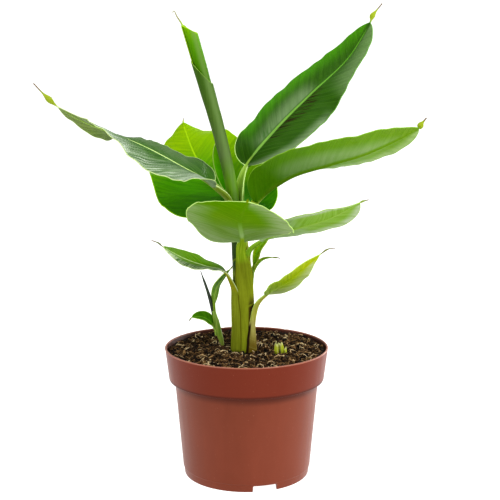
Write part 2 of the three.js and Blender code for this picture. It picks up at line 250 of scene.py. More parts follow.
def pot_finish():
    finish, shader = new_finish("terracotta_plastic", 0.34, 0.17)
    place = place_on(shader)
    clouds = grain(place, (14, 14, 9), 4)
    flow = grain(place, (160, 160, 12), 3)
    colour = tinted(faded(clouds, 0.3, 0.7), (112, 53, 32), (122, 60, 40))
    colour = laid(colour, (140, 70, 46), flow, 0.3, 0.8, 0.12)
    height = axis_of(place, "Z")
    # The collar above the shoulder is painted a darker red: painted shade for the duller reflection it shows.
    colour = laid(colour, (104, 33, 10), height, SHOULDER * MM, (SHOULDER + 0.4) * MM, 0.7)
    # A dark band just under the collar's step, and on the step itself, is a painted shadow cast by the
    # collar.
    below = faded(height, (SHOULDER - 7) * MM, (SHOULDER - 0.5) * MM, 0, 0.75)
    above = faded(height, (SHOULDER + 2.4) * MM, (SHOULDER + 1) * MM)
    colour = tinted(times(below, above), colour, (72, 26, 12))
    # The trimmed lip is painted paler: a painted highlight along the rim.
    lip = (POT["height"] - 1) * MM, (POT["height"] - 0.5) * MM
    colour = laid(colour, (176, 122, 102), height, *lip, 0.6)
    flat = put(place, "VectorMath", {0: place, 1: (1, 1, 0)}, operation="MULTIPLY")
    radius = put(place, "VectorMath", {0: flat}, 1, operation="LENGTH")
    slope = (POT["rim"] - POT["collar"]) / POT["collar_height"]
    upright = sum_of("SUBTRACT", radius, times(height, slope))
    inner_face = POT["rim"] - POT["height"] * slope - POT["wall"]
    inner = faded(upright, (inner_face + 0.9) * MM, (inner_face + 0.5) * MM)
    low = faded(height, (SHOULDER + 8.6) * MM, (SHOULDER + 13.6) * MM)
    high = faded(height, (POT["height"] - 0.4) * MM, (POT["height"] - 1.4) * MM, 0, 0.8)
    colour = tinted(times(inner, times(low, high)), colour, (58, 29, 19))
    colour = laid(colour, (186, 128, 104), grain(place, 900, 1), 0.72, 0.8, 0.2)
    feed(shader.inputs["Base Color"], colour)
    feed(shader.inputs["Roughness"], faded(flow, 0.3, 0.7, 0.33, 0.4))
    fine = grain(place, 2500, 2)
    relief(shader, sum_of("ADD", fine, times(clouds, 3)), 0.00004, 0.6)
    return finish


def cut_away(piece, cutters):
    """Takes the cutters out of a piece and leaves a plain mesh."""
    for cutter in cutters:
        change = piece.modifiers.new("cut", "BOOLEAN")
        change.object, change.operation, change.solver = cutter, "DIFFERENCE", "EXACT"
    whole = piece.evaluated_get(bpy.context.evaluated_depsgraph_get())
    piece.data = bpy.data.meshes.new_from_object(whole)
    piece.modifiers.clear()
    for cutter in cutters:
        bpy.data.objects.remove(cutter)


def cutter_of(shape, radius, angle):
    """A cutter set at a radius in millimetres and an angle in degrees round the pot's axis."""
    move = Matrix.Rotation(math.radians(angle), 4, "Z") @ Matrix.Translation((radius * MM, 0, 0))
    bmesh.ops.transform(shape, matrix=move, verts=shape.verts)
    return stood("cutter", mesh_of("cutter", shape))


def level_edges(shape):
    """Edges whose two ends lie at one height."""
    return [e for e in shape.edges if abs(e.verts[0].co.z - e.verts[1].co.z) < 1e-6]


def rounded(shape, edges, radius):
    rounding = dict(offset=radius * MM, segments=2, profile=0.5, affect="EDGES", material=-1)
    bmesh.ops.bevel(shape, geom=edges, **rounding)


def make_pot():
    shape = turned(pot_profile(), POT_SIDES)
    rings = [e for e in level_edges(shape) if e.calc_face_angle(0) > math.radians(12)]
    rounded(shape, rings, RING_ROUNDING)
    # The trimmed lip is a little uneven, with small burrs.
    for v in shape.verts:
        if v.co.z > (POT["height"] - 0.7) * MM:
            turn = math.atan2(v.co.y, v.co.x)
            burr = noise.noise(Vector((9 * math.cos(turn), 9 * math.sin(turn), 0)) * 3)
            v.co.z -= 0.5 * MM * max(0, burr - 0.15)
    piece = set_piece("nursery_pot", shape, pot_finish(), "pot", "pot")
    cutters = []
    for i in range(VENTS["count"]):
        vent = bmesh.new()
        bmesh.ops.create_cube(vent, size=1)
        size = Matrix.Diagonal((VENTS["depth"] * MM, VENTS["width"] * MM, 2 * VENTS["height"] * MM, 1))
        bmesh.ops.transform(vent, matrix=size, verts=vent.verts)
        rounded(vent, level_edges(vent), VENT_ROUNDING)
        cutters.append(cutter_of(vent, POT["foot"], VENTS["first"] + 360 / VENTS["count"] * i))
    for i in range(DRAINS["count"]):
        hole = bmesh.new()
        size = dict(radius1=DRAINS["radius"] * MM, radius2=DRAINS["radius"] * MM, depth=DRAINS["depth"] * MM)
        bmesh.ops.create_cone(hole, cap_ends=True, segments=32, **size)
        cutters.append(cutter_of(hole, DRAINS["circle"], VENTS["first"] + 360 / DRAINS["count"] * (i + 0.5)))
    cut_away(piece, cutters)
    piece.data.set_sharp_from_angle(angle=math.radians(35))


make_pot()

# The compost is moist dark peat with coarse crumbs, pale bits and fibres. Its surface rises a little
# to the stem and sinks at the pot wall. The crumbs and fibres are strewn over it, half sunk.
SOIL = dict(crown=92, edge=92.2, flat=34, reach=56, tilt=0.6, sink=0.6, lumps=1.3, crumbs=2.6, grit=0.9)
PEAT_SIDES, PEAT_RINGS, PEAT_GAP = 300, 84, 0.3
STREWN = dict(crumbs=1600, fibres=2400, seed=7, stem_x=-2, stem_gap=10)


def soil_height(x, y):
    """Height in millimetres of the compost at a place in millimetres."""
    flat, reach, sink = SOIL["flat"], SOIL["reach"], SOIL["sink"]
    slope = min(max((math.hypot(x, y) - flat) / (reach - flat), 0), 1)
    base = SOIL["crown"] - sink - (SOIL["crown"] - SOIL["edge"]) * slope**1.4
    lumps = noise.fractal(Vector((x, y, 3)) * 0.16, 1.0, 2.1, 5)
    crumbs = abs(noise.noise(Vector((x, y, 9)) * 0.4))
    grit = abs(noise.noise(Vector((x, y, 17)) * 1.2))
    rough = base - sink + SOIL["tilt"] * slope * x / reach + SOIL["lumps"] * lumps
    return rough + SOIL["crumbs"] * crumbs + SOIL["grit"] * grit


def soil_finish():
    finish, shader = new_finish("moist_peat", 0.88, 0.3)
    place = place_on(shader)
    clumps = grain(place, 260, 5, 0.7)
    clods = ((0.36, (10, 6, 4)), (0.48, (30, 19, 12)), (0.60, (58, 40, 25)), (0.74, (106, 80, 52)))
    colour = graded(clumps, *clods)
    shade = grain(place, 700, 3)
    colour = tinted(faded(shade, 0.38, 0.6), (14, 9, 6), colour)
    feed(shader.inputs["Base Color"], colour)
    relief(shader, grain(place, 1500, 4), 0.0006, 0.9)
    return finish


def crumb_finish(name, mottled):
    """Peat bits from nearly black to straw, by each bit's own tone."""
    finish, shader = new_finish(name, 0.9, 0.2)
    tone = put(shader, "Attribute", {}, "Fac", attribute_name="tone")
    place = place_on(shader)
    tones = [(0.0, (10, 6, 4)), (0.3, (42, 27, 17)), (0.6, (108, 80, 50))]
    tones += [(0.85, (176, 140, 94)), (1.0, (234, 210, 168))]
    colour = graded(tone, *tones)
    mottle = faded(grain(place, 1400), 0.42, 0.62, 0, mottled)
    colour = tinted(mottle, colour, (12, 8, 5))
    feed(shader.inputs["Base Color"], colour)
    relief(shader, grain(place, 2600), 0.0004, 0.8)
    return finish


def strewn(count, bit):
    """One shape of many small bits, each with a tone. They are grown a hundred at a time and joined."""
    whole = bmesh.new()
    for _ in range(0, count, 100):
        batch = bmesh.new()
        tone = batch.verts.layers.float.new("tone")
        for _ in range(100):
            bit(batch, tone)
        mesh = mesh_of("batch", batch)
        whole.from_mesh(mesh)
        bpy.data.meshes.remove(mesh)
    return whole


def make_soil():
    floor = POT["lift"] + POT["wall"]
    inset = POT["wall"] + 0.4
    wall_foot = [(0, POT["wall"] + PEAT_GAP), (POT["disc"] - 2.5, POT["wall"] + PEAT_GAP)]
    wall_foot += [(POT["disc"] + 1.2, floor + PEAT_GAP), (POT["foot"] - 2.6, floor + PEAT_GAP)]
    wall_foot += [(POT["foot"] - 1.3, floor + 1.4)]
    wall_foot += [(POT["neck"] - inset, SHOULDER + 0.2), (POT["collar"] - inset, SHOULDER + POT["wall"] + 1)]
    top = POT["rim"] - inset - 1.0
    surface = [(top * (1 - i / PEAT_RINGS), SOIL["edge"]) for i in range(PEAT_RINGS + 1)]
    shape = turned(wall_foot + surface, PEAT_SIDES)
    for v in shape.verts:
        if abs(v.co.z - SOIL["edge"] * MM) < 1e-6:
            v.co.z = soil_height(v.co.x / MM, v.co.y / MM) * MM
    set_piece("peat_bed", shape, soil_finish(), "soil", "soil")

    # The noise has to be given its seed too, which is else taken from the clock.
    dice = random.Random(STREWN["seed"])
    noise.seed_set(STREWN["seed"])
    stem_x, stem_gap = STREWN["stem_x"], STREWN["stem_gap"]

    def spot(reach):
        """A random place within reach of the pot's axis."""
        r, turn = reach * math.sqrt(dice.random()), dice.uniform(0, math.tau)
        return r * math.cos(turn), r * math.sin(turn)

    def patchy(x, y):
        """Darker and lighter clumps."""
        return min(max(0.92 + 1.1 * noise.noise(Vector((x, y, 30)) * 0.2), 0.35), 1.05)

    def crumb(shape, tone):
        x, y = spot(SOIL["reach"])
        if math.hypot(x - stem_x, y) < stem_gap:
            return
        size = 0.35 + 1.2 * dice.random() ** 3
        grown = bmesh.ops.create_icosphere(shape, subdivisions=1, radius=size * MM)["verts"]
        squash = Matrix.Diagonal((dice.uniform(0.7, 1.5), dice.uniform(0.6, 1.1), dice.uniform(0.5, 0.9), 1))
        spin = Matrix.Rotation(dice.uniform(0, math.tau), 4, Vector((dice.random(), dice.random(), 1)))
        move = Matrix.Translation(Vector((x, y, soil_height(x, y) + 0.3 * size)) * MM)
        bmesh.ops.transform(shape, matrix=move @ spin @ squash, verts=grown)
        shade = dice.random() ** 1.3 * patchy(x, y)
        for v in grown:
            v.co += noise.noise_vector(v.co * 900) * 0.45 * size * MM
            v[tone] = shade

    def fibre(shape, tone):
        x, y = spot(SOIL["reach"] - 2)
        if math.hypot(x - stem_x, y) < stem_gap + 1:
            return
        heading, length = dice.uniform(0, math.tau), 3 + 10 * dice.random() ** 2
        width, bend, hump = dice.uniform(0.12, 0.38), dice.uniform(-3.2, 3.2), dice.uniform(0.5, 2.4)
        strand = bmesh.ops.create_icosphere(shape, subdivisions=2, radius=1)["verts"]
        shade = (0.25 + 0.8 * dice.random() ** 1.2) * patchy(x, y)
        middle, wall = 0.65 * soil_height(x, y), SOIL["reach"] + 0.5
        for v in strand:
            share = (v.co.z + 1) / 2
            way = heading + bend * (share - 0.5)
            px = x + length * (share - 0.5) * math.cos(way) - width * v.co.x * math.sin(way)
            py = y + length * (share - 0.5) * math.sin(way) + width * v.co.x * math.cos(way)
            reach = math.hypot(px, py)
            if reach > wall:
                px, py = wall / reach * px, wall / reach * py
            lie = middle + 0.35 * soil_height(px, py)
            v.co = Vector((px, py, lie + hump * math.sin(math.pi * share) + width * v.co.y)) * MM
            v[tone] = shade

    for name, bit, mottled in (("crumbs", crumb, 0.6), ("fibres", fibre, 0.2)):
        shape = strewn(STREWN[name], bit)
        set_piece("peat_" + name, shape, crumb_finish("peat_" + name, mottled), "soil")


make_soil()

# The pseudostem is not wood: it is the wrapped sheaths of the leaves. The inner one runs from a flat
# cut on the compost to the crown, ribbed lengthwise, and each older sheath laps round it.
STEM_AXIS = [(-2.2, 0, 92.3), (-2.4, 0, 112), (-2.9, 0, 140), (-4, 0, 162), (-5.6, 0, 180), (-7.6, 0, 194)]
STEM_RADII = [8.1, 7.3, 7.4, 7, 6.6, 6, 4.6]
STEM_ROWS, CROWN_ROWS = 140, 20
INNER_STEM = 1.4
ROUTE_STEPS = 40


def route(points):
    """A centripetal spline through points: dense places along it and the distance run to each."""
    points = np.array(points, float)
    knots = np.vstack([2 * points[0] - points[1], points, 2 * points[-1] - points[-2]])
    places = []
    for i in range(len(points) - 1):
        before, first, last, after = knots[i : i + 4]
        d0, d1, d2 = np.linalg.norm([first - before, last - first, after - last], axis=1) ** 0.5
        leave = ((first - before) / d0 - (last - before) / (d0 + d1) + (last - first) / d1) * d1
        reach = ((last - first) / d1 - (after - first) / (d1 + d2) + (after - last) / d2) * d1
        w = (np.arange(ROUTE_STEPS) / ROUTE_STEPS)[:, None]
        curve = first + leave * w + (3 * (last - first) - 2 * leave - reach) * w**2
        places.append(curve + (2 * (first - last) + leave + reach) * w**3)
    places = np.vstack(places + [points[-1:]])
    run = np.append(0, np.cumsum(np.linalg.norm(np.diff(places, axis=0), axis=1)))
    return places, run


def along(places, run, distance):
    """Places on a route at the given distances."""
    return np.stack([np.interp(distance, run, places[:, k]) for k in range(3)], -1)


def eased(settings, share):
    """A value eased through evenly spaced settings, for shares from 0 to 1."""
    settings = np.array(settings, float)
    place = np.clip(share, 0, 1) * (len(settings) - 1)
    i = np.minimum(place.astype(int), len(settings) - 2)
    part = place - i
    return settings[i] + (settings[i + 1] - settings[i]) * part * part * (3 - 2 * part)


def unit(vectors):
    return vectors / np.maximum(np.linalg.norm(vectors, axis=-1, keepdims=True), 1e-9)


def cross_ways(ahead):
    """The two directions across a route: sideways and to the back."""
    side = unit(np.array([1.0, 0, 0]) - ahead * ahead[..., :1])
    return side, np.cross(ahead, side)


stem_places, stem_run = route(STEM_AXIS)


def stem_at(height):
    """The stem's axis and radius at the given heights."""
    run = np.interp(height, stem_places[:, 2], stem_run)
    return along(stem_places, stem_run, run), eased(STEM_RADII, run / stem_run[-1])


def grid_tube(places, radii, sides):
    """A closed tube along places, from a grid rolled up and welded."""
    rows = len(places) - 1
    shape = bmesh.new()
    bmesh.ops.create_grid(shape, x_segments=rows, y_segments=sides, size=1)
    ahead = unit(np.gradient(places, axis=0))
    side, back = cross_ways(ahead)
    for v in shape.verts:
        i = round((v.co.x + 1) / 2 * rows)
        turn = math.pi * v.co.y
        radius = radii(i, turn) if callable(radii) else radii[i]
        v.co = Vector((places[i] + radius * (math.cos(turn) * side[i] + math.sin(turn) * back[i])) * MM)
    bmesh.ops.remove_doubles(shape, verts=shape.verts, dist=1e-7)
    bmesh.ops.holes_fill(shape, edges=[e for e in shape.edges if e.is_boundary])
    bmesh.ops.recalc_face_normals(shape, faces=shape.faces)
    return shape


def stem_finish():
    """Yellow-green sheath with fine darker and paler lines along it, browner and drier at the foot."""
    finish, shader = new_finish("stem_sheath", 0.42)
    place = place_on(shader)
    lines = grain(place, (900, 900, 22), 4)
    broad = grain(place, (160, 160, 9), 3)
    colour = tinted(faded(lines, 0.3, 0.7), (104, 108, 26), (148, 148, 48))
    colour = laid(colour, (84, 116, 26), broad, 0.4, 0.7, 0.6)
    low, streaky = faded(axis_of(place, "Z"), 0.145, 0.095), faded(lines, 0.45, 0.62)
    colour = tinted(times(low, streaky), colour, (112, 82, 30))
    feed(shader.inputs["Base Color"], colour)
    relief(shader, lines, 0.0003, 0.8)
    return finish


def make_stem():
    heights = np.linspace(STEM_AXIS[0][2], STEM_AXIS[-1][2], STEM_ROWS)
    places, radii = stem_at(heights)

    def ribbed(i, turn):
        rib = 0.10 * math.cos(23 * turn) + 0.07 * math.cos(41 * turn + 1)
        crown = max(0, (i - STEM_ROWS + CROWN_ROWS) / CROWN_ROWS)
        return radii[i] - INNER_STEM + rib - INNER_STEM * crown**2

    shape = grid_tube(places, ribbed, 96)
    set_piece("inner_stem", shape, stem_finish(), "stem", "pseudostem")


make_stem()

# The leaves. A leaf is one piece from its sheath round the stem, through a channelled stalk, to a thin
# ribbed blade with a raised midrib below, a pale margin and a drip tip. It is a grid bent to shape.
LEAF_FACES_UP = 60
STALK_CHANNEL = 52
SHEET = 0.42
VEIN_PITCH = 4.6
WAVES = (31, 17, 9.5)
SHARED = dict(lean=0.8, ripple=0.1)
LARGE = dict(SHARED, rib=2.4, rib_width=1.7, foot=5, foot_thick=3, neck=3.2, across=56, pitch=1.0, wave=0.5)
SMALL = dict(SHARED, rib=1.5, rib_width=1.2, foot=4, foot_thick=2.6, neck=1.7, across=44, pitch=0.8, wave=0.4)


def smooth(value, low, high):
    share = np.clip((value - low) / (high - low), 0, 1)
    return share * share * (3 - 2 * share)


def leaf_outline(share, fullness):
    """Half width of a blade as a share of its widest, from base to tip."""
    base, tip = fullness
    widest = base / (base + tip)
    peak = widest**base * (1 - widest) ** tip
    return np.maximum(share, 0) ** base * np.maximum(1 - share, 0) ** tip / peak


def gathered(share, amount):
    """Moves even shares towards both ends."""
    return share + amount * (0.5 - 0.5 * np.cos(math.pi * share) - share)


def facing_of(middle):
    """The way a surface faces at each of its points."""
    return unit(np.cross(np.gradient(middle, axis=1), np.gradient(middle, axis=0)))


def marks_of(across, vein, distance, share, midrib, from_margin, stalk=0.0, sheath=0.0, tip=0.0):
    """What a leaf's finish follows, given for every point of its sheet."""
    values = np.broadcast_arrays(across, vein, distance, share, midrib, from_margin, stalk, sheath, tip)
    names = ("share", "midrib", "from_margin", "stalk", "sheath", "tip")
    return dict(place=np.stack(values[:3], -1), **dict(zip(names, values[3:])))


def sheet_piece(name, middle, above, below, marks, finish, slot, *nodes):
    """A thin closed sheet from its middle surface, with each face set off from it, as a piece."""
    rows, columns = middle.shape[0] - 1, middle.shape[1] - 1
    shape = bmesh.new()
    seat = shape.verts.layers.int.new("seat")
    side = shape.verts.layers.float.new("underside")
    layers = {}
    for mark, values in marks.items():
        kind = shape.verts.layers.float if values.ndim == 2 else shape.verts.layers.float_vector
        layers[mark] = (kind.new(mark), values.reshape((rows + 1) * (columns + 1), -1))
    bmesh.ops.create_grid(shape, x_segments=rows, y_segments=columns, size=1)
    for v in shape.verts:
        v[seat] = round((v.co.x + 1) / 2 * rows) * (columns + 1) + round((v.co.y + 1) / 2 * columns)
    for v in bmesh.ops.solidify(shape, geom=shape.faces[:], thickness=0.01)["geom"]:
        if isinstance(v, bmesh.types.BMVert):
            v[side] = 1
    facing = facing_of(middle)
    above, below = (np.broadcast_to(wall, middle.shape[:2])[..., None] for wall in (above, below))
    upper = ((middle + facing * above) * MM).reshape(-1, 3)
    under = ((middle - facing * below) * MM).reshape(-1, 3)
    for v in shape.verts:
        at = v[seat]
        v.co = under[at] if v[side] > 0.5 else upper[at]
        for layer, values in layers.values():
            v[layer] = values[at] if values.shape[1] == 3 else values[at][0]
    shape.verts.layers.int.remove(shape.verts.layers.int["seat"])
    bmesh.ops.recalc_face_normals(shape, faces=shape.faces)
    set_piece(name, shape, finish, slot, *nodes)


def leaf_route(spec):
    """Places along a leaf's midrib, the distance run to each, and where its blade starts and ends."""
    places, run = route(spec["stalk"] + spec["blade"] + spec["tip"])
    start = ROUTE_STEPS * len(spec["stalk"])
    return places, run, run[start], run[start + ROUTE_STEPS * (len(spec["blade"]) - 1)]


def leaf_middle(spec, distance, columns, dice):
    """The middle surface of a leaf at rows along it, with what its faces and finish follow."""
    places, run, start, end = leaf_route(spec)
    distance = distance[:, None]
    heading, lean = math.radians(spec["heading"]), math.radians(LEAF_FACES_UP)
    up = np.array([-math.cos(lean) * math.cos(heading), -math.cos(lean) * math.sin(heading), math.sin(lean)])
    centre = along(places, run, np.maximum(distance, 0))
    ahead = unit(along(unit(np.gradient(places, axis=0)), run, np.maximum(distance, 0)))
    ahead[distance < 0] = (0, 0, 1)
    normal = unit(up - ahead * (ahead @ up)[..., None])
    side = np.cross(ahead, normal)

    share = (distance - start) / (end - start)
    on_stalk = np.clip(1 - distance / start, 0, 1)
    on_tip = np.clip((distance - end) / (run[-1] - end), 0, 1)
    inside = np.clip(share, 0, 1)
    stalk_half = (spec["neck"] + (spec["foot"] - spec["neck"]) * on_stalk) * (1 - inside)
    bulb_size, bulb_place, bulb_reach = spec["bulb"]
    bulb = np.where(on_tip > 0, bulb_size * np.exp(-(((on_tip - bulb_place) / bulb_reach) ** 2)), 0)
    thread = spec.get("thread", 0.3) * (1 - 0.5 * on_tip)
    blade_half = spec["half_width"] * leaf_outline(inside, spec["fullness"])
    half = np.maximum.reduce([stalk_half, blade_half, thread, bulb])
    stalkness = 1 - smooth(share, -0.02, 0.12)

    q = np.linspace(-1, 1, columns + 1)[None, :]
    q = np.sign(q) * (0.45 * np.abs(q) + 0.55 * (0.5 - 0.5 * np.cos(math.pi * np.abs(q))))
    reach = np.abs(q)
    left, right = (eased(spec[lift], share) for lift in ("left_lift", "right_lift"))
    rise = np.where(q < 0, left, right)
    rise = rise + (spec.get("channel", STALK_CHANNEL) - rise) * np.minimum(1, on_stalk * 2)
    bend = stalkness * rise + (1 - stalkness) * spec.get("camber", -7)
    rise, bend = np.radians(rise), np.radians(np.where(np.abs(bend) < 0.5, 0.5, bend))
    arc = half * bend / np.sin(bend) / (2 * bend)
    out = arc * (np.sin(rise - bend + 2 * bend * reach) - np.sin(rise - bend))
    lift = arc * (np.cos(rise - bend) - np.cos(rise - bend + 2 * bend * reach))
    middle = centre + side * (np.sign(q) * out)[..., None] + normal * lift[..., None]

    across = reach * half
    from_margin = half - across
    vein = distance - spec["lean"] * across
    blade = smooth(share, 0.02, 0.14) * (1 - smooth(share, 0.93, 1.0))
    ripple = spec["ripple"] * np.cos(math.tau * vein / VEIN_PITCH)
    ripple = ripple * smooth(across, 0.5, 4) * smooth(from_margin, 0.2, 4)
    swell = np.zeros_like(across)
    for length in WAVES:
        for sign in (-1, 1):
            turn = dice.uniform(0, math.tau)
            wave = np.sin(math.tau * distance / length / dice.uniform(0.85, 1.15) + turn)
            swell += np.where(q * sign > 0, wave, 0) * (length / WAVES[0]) ** 0.7
    moved = (ripple + spec["wave"] * swell * reach**2.2) * blade * smooth(half, 3, 14)
    middle = middle + facing_of(middle) * moved[..., None]

    sheath = spec.get("sheath")
    joined = np.zeros_like(distance)
    if sheath:
        hold, merge = sheath.get("hold", 0) * start, sheath.get("merge", 0.9) * start
        height = centre[..., 2] + np.minimum(distance, 0)
        joined = 1 - smooth(distance, hold, merge)
        top = along(places, run, np.array([merge]))[0, 2]
        rising = (height - sheath["foot"]) / (top - sheath["foot"])
        wraps = sheath.get("wrap_left", sheath["wrap"]), sheath["wrap"]
        wrap_left, wrap_right = (np.radians(eased(wrap, rising)) for wrap in wraps)
        axis, radius = stem_at(height)
        turn = heading - q * np.where(q < 0, wrap_left, wrap_right)
        round_stem = np.stack([np.cos(turn), np.sin(turn), np.zeros_like(turn)], -1)
        flare = sheath.get("flare", 0.25) * reach**6
        wrapped = axis + round_stem * (radius + sheath["stand"] + flare)[..., None]
        wrapped[..., 2] = height
        middle = middle + (wrapped - middle) * joined[..., None]

    rib_width = spec["rib_width"] * (1 - 0.6 * inside)
    ridge = np.exp(-((across / rib_width) ** 2)) * (1 - smooth(share, 0.9, 1.02))
    round_off = np.sqrt(np.maximum(1 - reach**2, 0))
    keel = spec["rib"] * (1 - 0.8 * inside) * ridge * (1 - stalkness)
    stalk_thick = (spec["rib"] + (spec["foot_thick"] - spec["rib"]) * on_stalk) * round_off**1.6
    stalk_thick = stalk_thick * (1 - 0.85 * joined)
    tip_thick = (bulb * 0.75 + thread * 0.7) * round_off * smooth(share, 0.97, 1.0)
    above = SHEET / 2 - 0.28 * keel + tip_thick
    below = SHEET / 2 + 0.8 * keel + stalk_thick * stalkness + tip_thick
    stalk = stalkness * (1 - smooth(across, 0.7, 2.4) * smooth(share, -0.03, 0.01))
    line = (across * np.sign(q), vein, distance, share, ridge * (1 - stalkness), from_margin)
    return middle, above, below, marks_of(*line, stalk, joined**3, on_tip)


def make_leaf(name, spec, finish, slot, *nodes):
    _, run, start, end = leaf_route(spec)
    foot = spec["stalk"][0][2] - spec["sheath"]["foot"] if "sheath" in spec else 0
    pitch = spec["pitch"]
    rows = round((end - start) / pitch)
    parts = [
        np.linspace(-foot, 0, max(round(foot / pitch / 2), 1), endpoint=False) if foot else np.array([]),
        np.linspace(0, start, max(round(start / pitch), 4), endpoint=False),
        start + (end - start) * gathered(np.arange(rows) / rows, 0.5),
        np.linspace(end, run[-1], max(round((run[-1] - end) / pitch * 3), 10)),
    ]
    shape = leaf_middle(spec, np.concatenate(parts), spec["across"], random.Random(name))
    sheet_piece(name, *shape, finish, slot, *nodes)


LEAF_PAINTS = dict(
    upper=[(0, (34, 92, 8), (58, 124, 14))], under=[(0, (84, 134, 30), (112, 158, 60))],
    rib_upper=[(0, (118, 176, 40))], rib_under=[(0, (140, 172, 76))], margin=[(0, (180, 212, 110))],
    stalk=((116, 144, 10), (160, 182, 50)), bulb=(138, 154, 36), thread=(110, 90, 60),
    sheath=((112, 120, 26), (134, 144, 38)), seam=((92, 84, 24), 0.45),
    stain_and_shade=((100, 84, 24), (-1, 1), (112, 94)), shine=(0.34, 0.46), gloss=0.04, lines=0.1, even=0.4,
    painted_light_patches=(), flecks_and_glints=(),
)


def leaf_finish(name, **looks):
    """A banana leaf: streaked along its side veins, with midrib, pale margin, stalk and drip tip."""
    looks = {**LEAF_PAINTS, **looks}
    finish, shader = new_finish(name, 0.4, looks["gloss"])
    marks = ("underside", "share", "midrib", "from_margin", "stalk", "sheath", "tip")
    underside, share, midrib, margin, stalk, sheath, tip = (
        put(shader, "Attribute", {}, "Fac", attribute_name=mark) for mark in marks
    )
    place = put(shader, "Attribute", {}, "Vector", attribute_name="place")
    fine = grain(place, (0.035, 1.5, 0), 3)
    coarse = grain(place, (0.03, 0.30, 0), 4)
    blotch = grain(place, (0.05, 0.05, 0), 2)
    line = faded(sum_of("SINE", times(axis_of(place, "Y"), math.tau / VEIN_PITCH)), 0.86, 1.0)

    def lamina(stops):
        """The blade's own green, streaked with a darker and a lighter one."""
        dark, light = (graded(share, *((stop[0], stop[i]) for stop in stops)) for i in (1, 2))
        streak = sum_of("MULTIPLY_ADD", fine, 0.5, times(coarse, 0.5))
        return tinted(faded(streak, 0.36, 0.64), dark, light)

    upper, under = lamina(looks["upper"]), lamina(looks["under"])
    across = axis_of(place, "X")

    def patch_of(flank, near, far, low, high, strength):
        """Where a patch lies: on one half, near or far from the margin, and between two shares."""
        side_of = times(across, flank) if flank else sum_of("ABSOLUTE", across)
        patch = times(faded(margin, far, near), faded(side_of, 0.5, 3))
        rise, fall = faded(share, low, low + 0.12), faded(share, high, high - 0.12)
        return times(times(patch, times(rise, fall)), strength)

    # Painted light on the blade: pale patches are painted sheen, bright green ones a painted glow and dark
    # ones painted shade, mottled, less so on a leaf set to be even.
    for flank, near, far, low, high, amount, tint in looks["painted_light_patches"]:
        mottled = faded(coarse, 0.25, 0.7, looks["even"] * amount, amount)
        patch = patch_of(flank, near, far, low, high, mottled)
        upper, under = (tinted(patch, face, tint) for face in (upper, under))
    # Each fleck is a streak in the leaf itself, except the pale silvery ones on the left leaf, which are
    # painted glints of sheen.
    for i, (flank, near, far, low, high, amount, tint) in enumerate(looks["flecks_and_glints"]):
        streaks = grain(place, (0.07 + 0.02 * i, 0.8 + 0.3 * i, 0), 2)
        patch = patch_of(flank, near, far, low, high, faded(streaks, 0.48, 0.6, 0, amount))
        upper = tinted(patch, upper, tint)
    faint = times(line, looks["lines"])
    rib_upper, rib_under = graded(share, *looks["rib_upper"]), graded(share, *looks["rib_under"])
    upper, under = tinted(faint, upper, rib_upper), tinted(faint, under, rib_under)
    upper = laid(upper, rib_upper, midrib, 0.25, 0.7)
    under = laid(under, rib_under, midrib, 0.1, 0.75)
    colour = tinted(underside, upper, under)
    colour = tinted(faded(blotch, 0.35, 0.7, 0, 0.18), colour, (150, 190, 80), "SOFT_LIGHT")

    stalk_lines = grain(place, (1.3, 0.03, 0.03), 3)
    stalk_colour, sheath_colour = (
        tinted(faded(stalk_lines, 0.25, 0.75), *looks[part]) for part in ("stalk", "sheath")
    )
    colour = laid(colour, stalk_colour, stalk, 0.15, 0.85)
    # A sheath is darkened in mottled patches over a reach across it and a span of heights: on most leaves
    # browning at the foot, on the left leaf painted shade high on its sheath, and on the front leaf darker
    # towards the bottom on its right side.
    stain_and_shade, sideways, upward = looks["stain_and_shade"]
    dark = faded(coarse, 0.3, 0.5)
    where = place_on(shader)
    for axis, (clear, full) in (("X", sideways), ("Z", upward)):
        dark = times(dark, faded(axis_of(where, axis), clear * MM, full * MM))
    sheath_colour = tinted(dark, sheath_colour, stain_and_shade)
    colour = laid(colour, sheath_colour, sheath, 0.1, 0.6)
    inset = sum_of("MULTIPLY_ADD", stalk, 0.35, margin)
    edge = times(faded(inset, 0.7, 0.35), faded(sheath, 0.6, 0.1))
    colour = tinted(edge, colour, graded(share, *looks["margin"]))
    seam_colour, seam_width = looks["seam"]
    seam = times(faded(margin, seam_width, seam_width * 0.4), faded(sheath, 0.5, 0.9))
    colour = tinted(seam, colour, seam_colour)
    colour = laid(colour, looks["bulb"], tip, 0.0, 0.12)
    colour = laid(colour, looks["thread"], tip, 0.62, 0.8)
    feed(shader.inputs["Base Color"], colour)
    glossy, matt = looks["shine"]
    rough = sum_of("ADD", faded(underside, 0, 1, glossy, matt), times(coarse, 0.10))
    feed(shader.inputs["Roughness"], rough)
    height = times(fine, 0.6)
    for ridges in (stalk_lines, line):
        height = sum_of("ADD", height, times(ridges, 0.3))
    relief(shader, height, 0.00022, 0.9)
    return finish


def make_open_leaf(leaf, spec, looks):
    """One open leaf from its sizes and its colours."""
    make_leaf(leaf + "_sheet", spec, leaf_finish(leaf + "_green", **looks), "leaf", leaf)
